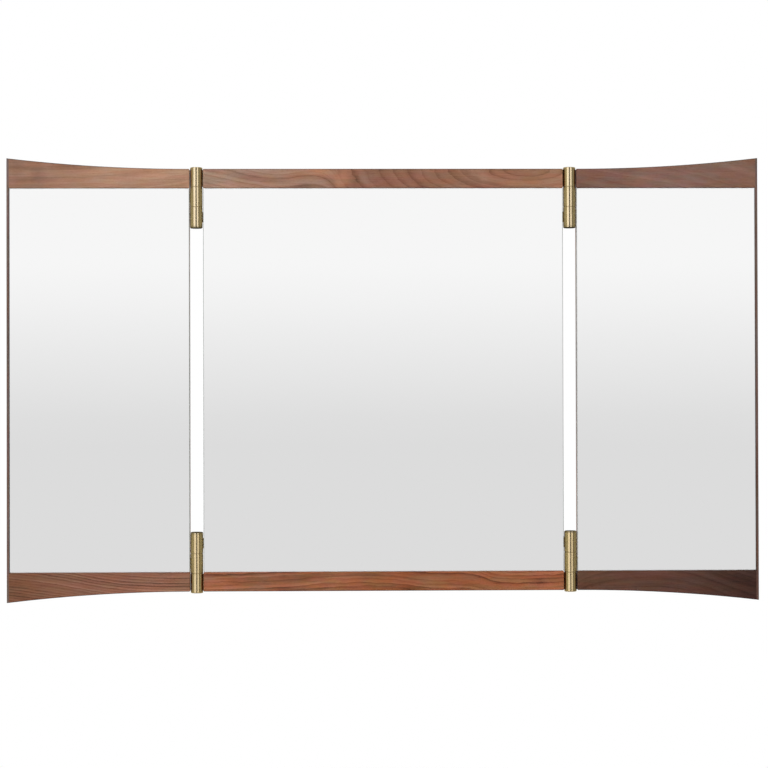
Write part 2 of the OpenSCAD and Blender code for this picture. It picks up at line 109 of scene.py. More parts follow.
class End(Enum):
    """The end of a panel at which a hinge sits."""

    TOP = "top"
    BOTTOM = "bottom"


@dataclass(frozen=True)
class Wire:
    """One output socket of a node tree, with arithmetic that adds the Math nodes."""

    graph: "Graph"
    socket: bpy.types.NodeSocket

    def __add__(self, other: "Term") -> "Wire":
        """Add a value."""
        return self.graph.math("ADD", self, other)

    def __radd__(self, other: "Term") -> "Wire":
        """Add this wire to a value."""
        return self.graph.math("ADD", other, self)

    def __sub__(self, other: "Term") -> "Wire":
        """Take a value away."""
        return self.graph.math("SUBTRACT", self, other)

    def __rsub__(self, other: "Term") -> "Wire":
        """Take this wire away from a value."""
        return self.graph.math("SUBTRACT", other, self)

    def __mul__(self, other: "Term") -> "Wire":
        """Multiply by a value."""
        return self.graph.math("MULTIPLY", self, other)

    def __rmul__(self, other: "Term") -> "Wire":
        """Multiply a value by this wire."""
        return self.graph.math("MULTIPLY", other, self)

    def __truediv__(self, other: "Term") -> "Wire":
        """Divide by a value."""
        return self.graph.math("DIVIDE", self, other)

    def __pow__(self, other: "Term") -> "Wire":
        """Raise to a power."""
        return self.graph.math("POWER", self, other)

    def __abs__(self) -> "Wire":
        """Drop the sign."""
        return self.graph.math("ABSOLUTE", self)

    def rise(self, low: float, high: float) -> "Wire":
        """Rise smoothly from 0 to 1 between two values.

        Args:
            low: The value at which the result is 0.
            high: The value at which the result is 1.

        Returns:
            The smooth step.
        """
        settings = {"interpolation_type": "SMOOTHSTEP"}
        return self.graph.node("ShaderNodeMapRange", settings, {0: self, 1: low, 2: high})

    def past(self, angles: Span) -> "Wire":
        """Rise from 0 to 1 between two angles in degrees, for a wire in radians."""
        low, high = angles
        return self.rise(math.radians(low), math.radians(high))


Term = Wire | float
Feed = Wire | float | Colour


class Graph:
    """A node tree that is built from expressions."""

    def __init__(self, tree: bpy.types.NodeTree) -> None:
        """Take over a tree and empty it."""
        self.tree = tree
        tree.nodes.clear()

    def node(
        self,
        kind: str,
        settings: dict[str, object] | None = None,
        feeds: dict[int | str, Feed] | None = None,
        output: int | str = 0,
    ) -> Wire:
        """Add one node.

        Args:
            kind: The node's type.
            settings: Its own settings, which are made first. "stops" fills a colour ramp and "points" a
                curve.
            feeds: Values or wires for its input sockets, by name or place.
            output: The output socket that is wanted.

        Returns:
            The wire of that output, or of the first input where the node has no output.
        """
        node = self.tree.nodes.new(kind)
        for key, value in (settings or {}).items():
            if key == "stops":
                self._fill_ramp(node.color_ramp, value)
            elif key == "points":
                self._fill_curve(node.mapping, value)
            else:
                setattr(node, key, value)
        for key, value in (feeds or {}).items():
            if isinstance(value, Wire):
                self.tree.links.new(value.socket, node.inputs[key])
            else:
                node.inputs[key].default_value = value
        return Wire(self, node.outputs[output] if len(node.outputs) else node.inputs[0])

    @staticmethod
    def _fill_ramp(ramp: bpy.types.ColorRamp, stops: list[tuple[float, Colour]]) -> None:
        """Set the stops of a ramp.

        Args:
            ramp: The colour ramp.
            stops: Pairs of place and colour.
        """
        while len(ramp.elements) < len(stops):
            ramp.elements.new(1.0)
        for element, (place, colour) in zip(ramp.elements, stops):
            element.position = place
            element.color = (*colour, 1.0)

    @staticmethod
    def _fill_curve(mapping: bpy.types.CurveMapping, points: Points) -> None:
        """Draw a curve.

        Args:
            mapping: The curve's own settings.
            points: Its points, which run from 0 to 1 both ways.
        """
        curve = mapping.curves[0]
        while len(curve.points) < len(points):
            curve.points.new(1.0, 1.0)
        for point, place in zip(curve.points, points):
            point.location = place
        mapping.update()

    def math(self, operation: str, first: Term, second: Term = 0.0) -> Wire:
        """Add one Math node.

        Args:
            operation: What it works out.
            first: The first value.
            second: The second value, for operations that have one.

        Returns:
            The result.
        """
        return self.node("ShaderNodeMath", {"operation": operation}, {0: first, 1: second})

    def mix(self, share: Term, first: Feed, second: Feed, blend: str = "MIX") -> Wire:
        """Mix two colours.

        Args:
            share: How much of the second colour is taken.
            first: The colour at 0.
            second: The colour at 1.
            blend: How they are mixed.

        Returns:
            The mixed colour.
        """
        colours = [c if isinstance(c, Wire) else (*c, 1.0) for c in (first, second)]
        settings = {"data_type": "RGBA", "blend_type": blend}
        feeds = {0: share, **dict(zip(MIX_COLOURS, colours))}
        return self.node("ShaderNodeMix", settings, feeds, MIX_RESULT)

    def scale(self, colour: Wire, factor: Term) -> Wire:
        """Make a colour lighter or darker by a factor."""
        return self.node("ShaderNodeVectorMath", {"operation": "SCALE"}, {0: colour, 3: factor})

    def split(self, vector: Wire) -> list[Wire]:
        """Take a vector apart into its three values."""
        return [self.node("ShaderNodeSeparateXYZ", {}, {0: vector}, axis.value) for axis in Axis]

    def join(self, first: Term, second: Term, third: Term) -> Wire:
        """Put three values together as a vector."""
        return self.node("ShaderNodeCombineXYZ", {}, {0: first, 1: second, 2: third})

    def noise(self, place: Wire, detail: float = 2.0, roughness: float = 0.5) -> Wire:
        """Take smooth noise at a place, about one swell for each unit.

        Args:
            place: Where the noise is read.
            detail: How many finer layers are added.
            roughness: How strong the finer layers are.

        Returns:
            A value round 0.5.
        """
        feeds = {"Vector": place, "Scale": 1.0, "Detail": detail, "Roughness": roughness}
        return self.node("ShaderNodeTexNoise", {}, feeds)

    def cloud(self, place: list[Wire], swells: Triple, detail: float = 2.0, roughness: float = 0.5) -> Wire:
        """Take smooth noise with a scale of its own along each axis.

        Args:
            place: Millimetres along the three axes.
            swells: How many swells a millimetre holds along each axis.
            detail: How many finer layers are added.
            roughness: How strong the finer layers are.

        Returns:
            A value round 0.5.
        """
        spot = self.join(*(value * share for value, share in zip(place, swells)))
        return self.noise(spot, detail, roughness)

    def bump(self, height: Wire, depth: float, strength: float = 1.0) -> Wire:
        """Turn a height of 0 to 1 into a bumped normal, with the depth in metres."""
        return self.node("ShaderNodeBump", {}, {"Height": height, "Distance": depth, "Strength": strength})

    def place(self) -> list[Wire]:
        """Give the place on the object in millimetres along X, Y and Z."""
        spot = self.node("ShaderNodeTexCoord", {}, {}, "Object")
        return self.split(self.scale(spot, MM_PER_METRE))

    def facing(self) -> list[Wire]:
        """Give how squarely a surface faces along X, Y and Z, from -1 to 1."""
        return self.split(self.node("ShaderNodeTexCoord", {}, {}, "Normal"))


@dataclass(frozen=True)
class Finish:
    """A surface finish. Each kind fills the shader's sockets in its own way."""

    name: str

    def sockets(self, graph: Graph) -> dict[int | str, Feed]:
        """Work out what feeds the shader.

        Args:
            graph: The material's node tree.

        Returns:
            The feeds of the Principled shader, by socket name.
        """
        raise NotImplementedError

    def material(self) -> bpy.types.Material:
        """Make the material.

        Returns:
            A new material with this finish.
        """
        made = bpy.data.materials.new(self.name)
        made.use_nodes = True
        graph = Graph(made.node_tree)
        shader = graph.node("ShaderNodeBsdfPrincipled", {}, self.sockets(graph))
        graph.node("ShaderNodeOutputMaterial", {}, {"Surface": shader})
        return made


@dataclass(frozen=True)
class Figure:
    """Noise in wood, by the swells that a millimetre holds along the grain, across it and in depth.

    The board's seed moves the noise in one direction, so that no two boards are alike.
    """

    swells: Triple
    detail: float = 2.0
    roughness: float = 0.5
    moved: Way = Way.ALONG

    def draw(self, graph: Graph, spot: list[Wire], seed: float) -> Wire:
        """Take the noise at a spot in a board.

        Args:
            graph: The material's node tree.
            spot: Millimetres along the grain, across it and in depth.
            seed: How far the board's own noise is moved.

        Returns:
            A value round 0.5.
        """
        moved = [value * share for value, share in zip(spot, self.swells)]
        moved[self.moved.value] = moved[self.moved.value] + seed
        return graph.noise(graph.join(*moved), self.detail, self.roughness)


FIBRE = Figure((0.021, 0.85, 0.85), 4.0, 0.65)
PORES = Figure((0.16, 2.6, 2.6), 1.0)
PATCHES = Figure((0.014, 0.03, 0.03), 3.0, 0.6)
MOTTLE = Figure((0.3, 0.4, 0.4), moved=Way.ACROSS)
REDNESS = Figure((0.02, 0.11, 0.1), moved=Way.ACROSS)
OIL = Figure((0.035, 0.08, 0.08), moved=Way.DEPTH)
SLOW_SWAY = Figure((0.006, 0.02, 0.02))
QUICK_SWAY = Figure((0.035, 0.14, 0.1), moved=Way.ACROSS)


@dataclass(frozen=True)
class Tints:
    """Two tints for a colour, and how one passes into the other as a measure rises between two values."""

    low: Colour
    high: Colour
    span: Span = (0.0, 1.0)

    def tint(self, graph: Graph, colour: Wire, measure: Wire, depth: float = 1.0) -> Wire:
        """Tint a colour.

        Args:
            graph: The material's node tree.
            colour: The colour to tint.
            measure: What decides between the two tints.
            depth: How strong the tint is, from 0 to 1.

        Returns:
            The tinted colour.
        """
        tint = graph.mix(measure.rise(*self.span), self.low, self.high)
        return graph.mix(depth, colour, tint, "MULTIPLY")


GREEN_TO_RED = Tints((0.88, 1.06, 1.05), (1.14, 0.925, 0.92), (0.36, 0.64))
YELLOW_TO_VIOLET = Tints((1.02, 1.0, 0.84), (0.98, 1.0, 1.17), (0.34, 0.66))
LATE_TO_EARLY = Tints((1.05, 0.975, 0.93), (0.96, 1.02, 1.05), (0.7, 1.3))
GREY_MARK: Colour = (0.89, 1.0, 1.09)
ORANGE_MARK: Colour = (1.15, 1.0, 0.83)


@dataclass(frozen=True)
class Mark:
    """A soft patch of lighter or darker wood.

    Its middle lies at a share of the board's length and at a height above the board's lowest edge. It
    reaches along the grain and spreads across it, and all but the share are millimetres. The lift makes it
    lighter above 0 and darker below. A warmth above 0 turns it to orange, and one below 0 to grey.
    """

    share: float
    height: float
    reach: float
    spread: float
    lift: float
    warmth: float = 0.0


@dataclass(frozen=True)
class Swirl:
    """Oval growth rings that take over from the straight grain along part of a board.

    Their middle is placed as a mark's is. Squash is an oval's height over its length, and pitch the
    millimetres from ring to ring. They begin at one share of the board's length and are full at another.
    Sway is how many times the board's wander they have, and ripple is millimetres.
    """

    share: float
    height: float
    squash: float
    pitch: float
    begin: float
    full: float
    sway: float = 3.0
    ripple: float = 10.0


@dataclass(frozen=True)
class Board:
    """One walnut board: its tones from end to end, its grain line, its rings and its marks.

    The line gives the millimetres that the grain has risen at shares of the board's length. Pitch, wander
    and ripple are millimetres too. Outward is 1 where the board's outer eased edge, which takes the most
    painted shade, is the upper one, -1 where it is the lower one, and 0 where it has none.
    """

    tones: tuple[Colour, Colour, Colour]
    line: Points = ((0.0, 0.0), (1.0, 0.0))
    grain: Axis = Axis.X
    ring_pitch: float = 6.0
    ring_depth: float = 0.22
    band_depth: float = 0.30
    wander: float = 9.0
    ripple: float = 2.2
    tint_depth: float = 0.5
    seed: float = 0.0
    marks: tuple[Mark, ...] = ()
    outward: float = 0.0
    swirl: Swirl | None = None

    def axes(self) -> tuple[Axis, Axis, Axis]:
        """Give the frame's axes along the grain, across it and in depth."""
        return (self.grain, Axis.Z if self.grain is Axis.X else Axis.X, Axis.Y)

    def dress(self, node: str) -> None:
        """Finish one solid, from one end of its box to the other.

        Args:
            node: The solid's name.
        """
        along, across, _ = (axis.value for axis in self.axes())
        low, high = ([value * MM_PER_METRE for value in corner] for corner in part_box(node))
        walnut = Walnut(node + "_walnut", self, low[along], high[along] - low[along], low[across])
        dress(node, walnut.material())


@dataclass(frozen=True)
class Walnut(Finish):
    """Oiled walnut, sawn from the log so that its growth rings follow the board's grain line.

    Start and length are the board's millimetres along the grain, and foot is its lowest edge across it.
    """

    board: Board
    start: float
    length: float
    foot: float = 0.0

    fibre_depth: float = 0.7
    pore_depth: float = 0.18
    patch_depth: float = 0.5
    mottle_depth: float = 0.16
    # Painted shade: how much the eased edges are darkened.
    edge_shade_depth: float = 0.9
    end_grain_depth: float = 0.25
    bump_depth: float = 0.00012
    roughness: float = 0.50
    slant: float = 0.7
    late_power: float = 3.0
    least_late: float = 0.3
    bands_per_ring: float = 0.6
    tone_places: Triple = (0.04, 0.5, 0.96)
    pore_span: Span = (0.57, 0.72)
    band_span: Span = (0.25, 0.75)
    end_grain_span: Span = (0.8, 0.98)
    eased_span: Span = (0.86, 0.995)
    # Painted shade on eased edges: the outer edge's span of up or down facing, and the share where a board
    # has no outer edge.
    outer_edge_shade_span: Span = (0.1, 0.3)
    even_edge_shade_share: float = 0.5

    def sockets(self, graph: Graph) -> dict[int | str, Feed]:
        """Lay rings, bands, fibres and pores over the board's own tones, and painted shade on its eased
        edges.

        Args:
            graph: The material's node tree.

        Returns:
            The feeds of the Principled shader, by socket name.
        """
        board = self.board
        place, facing = graph.place(), graph.facing()
        spot = [place[axis.value] for axis in board.axes()]
        along, across, _ = spot
        share = (along - self.start) / self.length

        rings = self._rings(graph, spot, share)
        fibre = FIBRE.draw(graph, spot, board.seed)
        pores = PORES.draw(graph, spot, board.seed).rise(*self.pore_span)
        patch = PATCHES.draw(graph, spot, board.seed)
        mottle = MOTTLE.draw(graph, spot, board.seed)
        shade = 1.0 + (rings - 0.5) + (fibre - 0.5) * self.fibre_depth - pores * self.pore_depth
        shade = shade + (patch - 0.5) * self.patch_depth + (mottle - 0.5) * self.mottle_depth
        heat = None
        for mark in board.marks:
            near = self._mark(graph, mark, share, across - self.foot)
            shade = shade + near * mark.lift
            if mark.warmth:
                heat = near * mark.warmth + (heat or 0.5)
        end_grain = abs(facing[board.grain.value]).rise(*self.end_grain_span)
        # Painted shade: the eased edges, the outer one most, are drawn darker.
        shade = shade * (1.0 - self._painted_edge_shade(graph, facing) * self.edge_shade_depth)
        shade = shade * (1.0 - end_grain * self.end_grain_depth)

        tones = list(zip(self.tone_places, board.tones))
        colour = graph.node("ShaderNodeValToRGB", {"stops": tones}, {0: share})
        redness = REDNESS.draw(graph, spot, board.seed)
        colour = GREEN_TO_RED.tint(graph, colour, redness, board.tint_depth)
        oil = OIL.draw(graph, spot, board.seed)
        colour = YELLOW_TO_VIOLET.tint(graph, colour, oil, board.tint_depth)
        if heat is not None:
            colour = graph.mix(1.0, colour, graph.mix(heat, GREY_MARK, ORANGE_MARK), "MULTIPLY")
        colour = LATE_TO_EARLY.tint(graph, colour, shade)
        return {
            "Base Color": graph.scale(colour, shade),
            "Roughness": self.roughness + (fibre - 0.5) * 0.25 + pores * 0.2 + end_grain * 0.3,
            "Specular IOR Level": 0.08,
            "Normal": graph.bump(fibre * 0.35 - pores, self.bump_depth, 0.6),
        }

    def _rings(self, graph: Graph, spot: list[Wire], share: Wire) -> Wire:
        """Draw the growth rings.

        Args:
            graph: The material's node tree.
            spot: Millimetres along the grain, across it and in depth.
            share: How far along the board, from 0 to 1.

        Returns:
            Lightness round 0.5, lower on late wood.
        """
        board = self.board
        along, across, depth = spot
        # A curve node runs from 0 to 1, so the line is squeezed about its middle and stretched again.
        room = 4.0 * max(1.0, *(abs(rise) for _, rise in board.line))
        drawn = tuple((place, 0.5 + rise / room) for place, rise in board.line)
        line = (graph.node("ShaderNodeFloatCurve", {"points": drawn}, {"Value": share}) - 0.5) * room
        slow = SLOW_SWAY.draw(graph, spot, board.seed) - 0.5
        quick = QUICK_SWAY.draw(graph, spot, board.seed) - 0.5
        level = across - line + depth * self.slant + slow * board.wander + quick * board.ripple
        rings = self._years(graph, level, board.ring_pitch, along)
        if board.swirl is None:
            return rings
        swirl = board.swirl
        off = (share - swirl.share) * self.length
        rise = (across - self.foot - swirl.height + depth * self.slant) / swirl.squash
        out = graph.math("SQRT", off * off + rise * rise)
        out = out + slow * (board.wander * swirl.sway) + quick * swirl.ripple
        ovals = self._years(graph, out, swirl.pitch, along)
        taken = share.rise(swirl.begin, swirl.full)
        return rings * (1.0 - taken) + ovals * taken

    def _years(self, graph: Graph, level: Wire, pitch: float, along: Wire) -> Wire:
        """Turn a distance across the rings into their lightness.

        Args:
            graph: The material's node tree.
            level: Millimetres across the rings.
            pitch: Millimetres from one ring to the next.
            along: Millimetres along the grain.

        Returns:
            Lightness round 0.5, lower on late wood.
        """
        board = self.board
        year = level / pitch + board.seed
        count = graph.math("FLOOR", year)
        weight = graph.node("ShaderNodeTexWhiteNoise", {"noise_dimensions": "1D"}, {"W": count})
        late = (year - count) ** self.late_power * (weight * (1.0 - self.least_late) + self.least_late)
        band = level * self.bands_per_ring / pitch + board.seed
        bands = graph.noise(graph.join(band, along * 0.002, 0.0), 2.0, 0.6)
        spread = bands.rise(*self.band_span) - 0.5
        return 0.5 + spread * board.band_depth - late * board.ring_depth

    def _mark(self, graph: Graph, mark: Mark, share: Wire, across: Wire) -> Wire:
        """Fade one patch out from its middle.

        Args:
            graph: The material's node tree.
            mark: The patch.
            share: How far along the board, from 0 to 1.
            across: Millimetres above the board's lowest edge.

        Returns:
            How much of the patch is felt, 1 in its middle.
        """
        away = (share - mark.share) * (self.length / mark.reach)
        aside = (across - mark.height) / mark.spread
        return graph.math("EXPONENT", (away * away + aside * aside) * -1.0)

    def _painted_edge_shade(self, graph: Graph, facing: list[Wire]) -> Wire:
        """Find the eased edges, the outer one above all, which are drawn darker as painted shade.

        Args:
            graph: The material's node tree.
            facing: How squarely the surface faces along each axis.

        Returns:
            How much painted shade the edge takes, from 0 to 1.
        """
        squarest = abs(facing[0])
        for face in facing[1:]:
            squarest = graph.math("MAXIMUM", squarest, abs(face))
        eased = 1.0 - squarest.rise(*self.eased_span)
        if not self.board.outward:
            return eased * self.even_edge_shade_share
        return eased * (facing[Axis.Z.value] * self.board.outward).rise(*self.outer_edge_shade_span)


@dataclass(frozen=True)
class Plywood(Finish):
    """Birch plywood: a pale face veneer, and the plies on its edges. Pitches are millimetres."""

    face: Colour = linear(205, 178, 140)
    core: Colour = linear(186, 148, 104)
    ply_pitch: float = 1.25
    ply_depth: float = 0.34
    ring_pitch: float = 17.0
    ring_depth: float = 0.06
    ring_swell: float = 260.0
    fibre_depth: float = 0.14
    edge_depth: float = 0.10
    roughness: float = 0.68
    bump_depth: float = 0.0001

    def sockets(self, graph: Graph) -> dict[int | str, Feed]:
        """Put faint veneer figure on the faces and alternating plies on the edges.

        Args:
            graph: The material's node tree.

        Returns:
            The feeds of the Principled shader, by socket name.
        """
        place, facing = graph.place(), graph.facing()
        edge = 1.0 - abs(facing[Axis.Y.value]).rise(0.5, 0.9)
        plies = graph.math("PINGPONG", place[Axis.Y.value] / self.ply_pitch, 1.0).rise(0.35, 0.65)
        swell = graph.cloud(place, (0.011, 0.05, 0.0022), 3.0) * self.ring_swell
        rings = graph.math("PINGPONG", (place[Axis.X.value] + swell) / self.ring_pitch, 1.0)
        fibre = graph.cloud(place, (1.1, 1.0, 0.02), 3.0, 0.6)
        shade = 0.96 + rings * self.ring_depth + (fibre - 0.5) * self.fibre_depth
        shade = shade * (1.0 - edge * (self.edge_depth + plies * self.ply_depth))
        return {
            "Base Color": graph.scale(graph.mix(edge, self.face, self.core), shade),
            "Roughness": self.roughness + (fibre - 0.5) * 0.2,
            "Specular IOR Level": 0.3,
            "Normal": graph.bump(fibre, self.bump_depth, 0.5),
        }


@dataclass(frozen=True)
class SilveredGlass(Finish):
    """Mirror glass: a silvered face, ground edges with grey arrises, and a painted back."""

    silver: Colour = (0.95, 0.95, 0.95)
    ground: Colour = (0.93, 0.95, 0.94)
    arris: Colour = linear(162, 166, 162)
    paint: Colour = linear(96, 98, 96)
    square: Span = (0.85, 0.97)
    slanted: Span = (0.3, 0.6)
    polish: float = 0.012

    def sockets(self, graph: Graph) -> dict[int | str, Feed]:
        """Tell the face, the edges and the back apart by the way they face.

        Args:
            graph: The material's node tree.

        Returns:
            The feeds of the Principled shader, by socket name.
        """
        place, facing = graph.place(), graph.facing()
        sideways, backwards = facing[Axis.X.value], facing[Axis.Y.value]
        front = (backwards * -1.0).rise(*self.square)
        back = backwards.rise(*self.square)
        frost = graph.cloud(place, (2.0, 2.0, 2.0))
        slant = abs(sideways).rise(*self.slanted) * abs(backwards).rise(*self.slanted)
        rim = graph.mix(slant, self.ground, self.arris)
        edges = graph.mix(back, rim, self.paint)
        return {
            "Base Color": graph.mix(front, graph.scale(edges, 0.9 + frost * 0.2), self.silver),
            "Metallic": front,
            "Roughness": (1.0 - front) * (0.35 + frost * 0.2) + self.polish,
        }


@dataclass(frozen=True)
class Brass(Finish):
    """Turned and polished brass, slightly toned in patches, with its front painted paler as a painted
    highlight.

    One share sets how much of the faces that look along the barrel is painted near black, as painted shade
    for the shadowed hollow at a barrel's end.
    """

    # Painted highlight: the front's paler colour; the flanks take the deep colour.
    front_highlight_tint: Colour = (0.47, 0.382, 0.245)
    deep: Colour = (0.47, 0.360, 0.158)
    toned: Colour = (0.38, 0.29, 0.132)
    # Painted shade: near black for the faces that look along the barrel.
    end_shade: Colour = (0.03, 0.024, 0.012)
    end_shade_share: float = 0.0
    painted_pale_front: Span = (0.85, 0.96)
    endwise: Span = (0.5, 0.68)
    toned_span: Span = (0.42, 0.78)
    toned_depth: float = 0.3
    spot_span: Span = (0.66, 0.8)
    spot_depth: float = 0.15
    roughness: float = 0.27
    ring_depth: float = 0.000004

    def material(self) -> bpy.types.Material:
        """Make the material, with painted shade on the faces that look along the barrel.

        Returns:
            A new material with this finish.
        """
        made = bpy.data.materials.new(self.name)
        made.use_nodes = True
        graph = Graph(made.node_tree)
        polished = graph.node("ShaderNodeBsdfPrincipled", {}, self.sockets(graph))
        end_speckle = graph.cloud(graph.place(), (0.5, 0.5, 0.5), 3.0)
        # Painted shade: a near-black finish on the faces that look along the barrel.
        end_shade_feeds = {
            "Base Color": graph.mix(end_speckle * 0.2, self.end_shade, self.toned),
            "Roughness": 0.75 + end_speckle * 0.2,
            "Specular IOR Level": 0.0,
        }
        end_shade_shader = graph.node("ShaderNodeBsdfPrincipled", {}, end_shade_feeds)
        share = abs(graph.facing()[Axis.Z.value]).rise(*self.endwise) * self.end_shade_share
        both = graph.node("ShaderNodeMixShader", {}, {0: share, 1: polished, 2: end_shade_shader})
        graph.node("ShaderNodeOutputMaterial", {}, {"Surface": both})
        return made

    def sockets(self, graph: Graph) -> dict[int | str, Feed]:
        """Add the lathe's fine rings, faint toning, a soft polish and a paler front as a painted highlight.

        Args:
            graph: The material's node tree.

        Returns:
            The feeds of the Principled shader, by socket name.
        """
        place = graph.place()
        lathe = graph.cloud(place, (0.02, 0.02, 2.5), 2.0, 0.6)
        toning = graph.cloud(place, (0.12, 0.12, 0.06), 4.0, 0.6)
        spots = graph.cloud(place, (0.7, 0.7, 0.7))
        worn = toning.rise(*self.toned_span) * self.toned_depth
        worn = worn + spots.rise(*self.spot_span) * self.spot_depth
        # Painted highlight: faces that look to the front take the paler colour.
        painted_pale_front = (graph.facing()[Axis.Y.value] * -1.0).rise(*self.painted_pale_front)
        return {
            "Base Color": graph.mix(worn, graph.mix(painted_pale_front, self.deep, self.front_highlight_tint), self.toned),
            "Metallic": 1.0,
            "Roughness": self.roughness + worn * 0.08,
            "Anisotropic": 1.0,
            "Anisotropic Rotation": QUARTER_TURN,
            "Normal": graph.bump(lathe, self.ring_depth, 0.2),
        }


@dataclass(frozen=True)
class Steel(Finish):
    """Zinc-plated steel with a fine crystal pattern."""

    zinc: Colour = (0.62, 0.63, 0.64)
    shaded: Colour = (0.48, 0.50, 0.53)
    crystals_per_mm: float = 0.9
    roughness: float = 0.30
    bump_depth: float = 0.00003

    def sockets(self, graph: Graph) -> dict[int | str, Feed]:
        """Vary the plating from grain to grain.

        Args:
            graph: The material's node tree.

        Returns:
            The feeds of the Principled shader, by socket name.
        """
        spot = graph.join(*(value * self.crystals_per_mm for value in graph.place()))
        crystals = graph.node("ShaderNodeTexVoronoi", {}, {"Vector": spot, "Scale": 1.0}, "Color")
        cloud = graph.noise(spot, 3.0, 0.6)
        grain = graph.split(crystals)[0]
        return {
            "Base Color": graph.mix(grain * 0.5 + cloud * 0.3, self.zinc, self.shaded),
            "Metallic": 1.0,
            "Roughness": self.roughness + grain * 0.10 + (cloud - 0.5) * 0.2,
            "Normal": graph.bump(cloud, self.bump_depth, 0.4),
        }


@dataclass(frozen=True)
class Rubber(Finish):
    """Matt black rubber with a little dust."""

    black: Colour = (0.022, 0.022, 0.024)
    dusty: Colour = (0.12, 0.12, 0.115)
    roughness: float = 0.72
    bump_depth: float = 0.00005

    def sockets(self, graph: Graph) -> dict[int | str, Feed]:
        """Add a fine moulded texture and pale dust.

        Args:
            graph: The material's node tree.

        Returns:
            The feeds of the Principled shader, by socket name.
        """
        place = graph.place()
        fine = graph.cloud(place, (4.0, 4.0, 4.0))
        dust = graph.cloud(place, (0.3, 0.3, 0.3), 4.0, 0.7)
        return {
            "Base Color": graph.mix(dust.rise(0.5, 0.85) * 0.3, self.black, self.dusty),
            "Roughness": self.roughness + (fine - 0.5) * 0.2,
            "Normal": graph.bump(fine, self.bump_depth, 0.5),
        }


class Paintbox:
    """The finishes that several pieces share, each made once."""

    def __init__(self) -> None:
        """Make the shared materials."""
        # Painted shade: the bottom hinges take a darker, more saturated copy of the brass.
        lower = Brass("lower_brass", front_highlight_tint=(0.45, 0.352, 0.200), deep=(0.45, 0.343, 0.142))
        washer = Brass(
            "brass_washer", front_highlight_tint=(0.38, 0.30, 0.19), deep=(0.34, 0.26, 0.13), toned=(0.30, 0.23, 0.11)
        )
        stile_tones = (linear(152, 114, 92), linear(102, 73, 58), linear(152, 114, 92))
        stile = Board(stile_tones, grain=Axis.Z, seed=3.7)
        self.brass = {End.TOP: Brass("upper_brass").material(), End.BOTTOM: lower.material()}
        # Painted shade: the pin's end faces are painted near black.
        self.brass_pin = Brass("brass_pin", end_shade_share=1.0).material()
        self.brass_washer = washer.material()
        self.steel = Steel("zinc_steel").material()
        self.rubber = Rubber("rubber").material()
        self.plywood = Plywood("birch_plywood").material()
        self.glass = SilveredGlass("silvered_glass").material()
        self.stile = Walnut("stile_walnut", stile, start=-700.0, length=720.0).material()


def dress(node: str, material: bpy.types.Material) -> None:
    """Give one solid of the frame its finish.

    Args:
        node: The solid's name.
        material: The finish it takes.
    """
    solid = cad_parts[node]
    for slot in solid.material_slots:
        slot.material = material
    log.info("%-28s %s", node, material.name)


@dataclass(frozen=True, kw_only=True)
class MirrorPanel:
    """One panel: two rails, two stiles, a backing board, the glass and its wall bumpers."""

    name: str
    stiles: tuple[str, str]
    top_rail: Board
    bottom_rail: Board

    def finish(self, paints: Paintbox) -> None:
        """Dress every piece of the panel.

        Args:
            paints: The shared finishes.
        """
        self.top_rail.dress(f"{self.name}_top_rail")
        self.bottom_rail.dress(f"{self.name}_bottom_rail")
        for stile in self.stiles:
            dress(f"{self.name}_{stile}_stile", paints.stile)
        dress(f"{self.name}_backing_board", paints.plywood)
        dress(f"{self.name}_mirror_glass", paints.glass)
        dress(f"{self.name}_wall_bumpers", paints.rubber)


@dataclass(frozen=True, kw_only=True)
class CentrePanel(MirrorPanel):
    """The panel that hangs on the wall."""

    name: str = "centre"
    stiles: tuple[str, str] = ("left", "right")


@dataclass(frozen=True, kw_only=True)
class Wing(MirrorPanel):
    """A wing, whose rails sweep outwards to a thin edge strip."""

    stiles: tuple[str, str] = ("inner", "outer")
    strip: Board

    def finish(self, paints: Paintbox) -> None:
        """Dress the edge strip too."""
        super().finish(paints)
        self.strip.dress(f"{self.name}_edge_strip")


@dataclass(frozen=True)
class BarrelHinge:
    """A brass hinge of three knuckles on a pin."""

    side: Side
    end: End

    def finish(self, paints: Paintbox) -> None:
        """Dress the knuckles, the pin and the washers in brass and the screws in steel.

        Args:
            paints: The shared finishes.
        """
        name = f"{self.end.value}_{self.side.value}"
        for part in ("outer_knuckle", "middle_knuckle", "inner_knuckle"):
            # The bottom hinges' brass is the darker copy with painted shade.
            dress(f"{name}_{part}", paints.brass[self.end])
        dress(f"{name}_hinge_pin", paints.brass_pin)
        dress(f"{name}_thrust_washers", paints.brass_washer)
        for part in ("centre_screws", "wing_screws"):
            dress(f"{name}_{part}", paints.steel)


class HangingHardware:
    """The two keyhole plates on the back, and their screws."""

    def finish(self, paints: Paintbox) -> None:
        """Dress the plates and their screws in steel.

        Args:
            paints: The shared finishes.
        """
        for side in Side:
            dress(f"{side.value}_hanging_plate", paints.steel)
        dress("hanging_plate_screws", paints.steel)


@dataclass(frozen=True)
class Lamp:
    """A soft lamp that faces the object and isn't seen in gloss. Angles are degrees and lengths metres."""

    name: str
    azimuth: float
    elevation: float
    distance: float
    width: float
    height: float
    power: float

    def place(self, aim: Vector) -> None:
        """Hang the lamp, azimuth 0 being on the viewer's side.

        Args:
            aim: The point it lights.
        """
        turn, lift = math.radians(self.azimuth), math.radians(self.elevation)
        way = Vector((math.sin(turn) * math.cos(lift), -math.cos(turn) * math.cos(lift), math.sin(lift)))
        data = bpy.data.lights.new(self.name, "AREA")
        data.shape = "RECTANGLE"
        data.size = self.width
        data.size_y = self.height
        data.energy = self.power
        lamp = bpy.data.objects.new(self.name, data)
        lamp.visible_glossy = False
        lamp.location = aim + way * self.distance
        lamp.rotation_euler = (-way).to_track_quat("-Z", "Y").to_euler()
        bpy.context.scene.collection.objects.link(lamp)
        log.info("lamp %s", self.name)


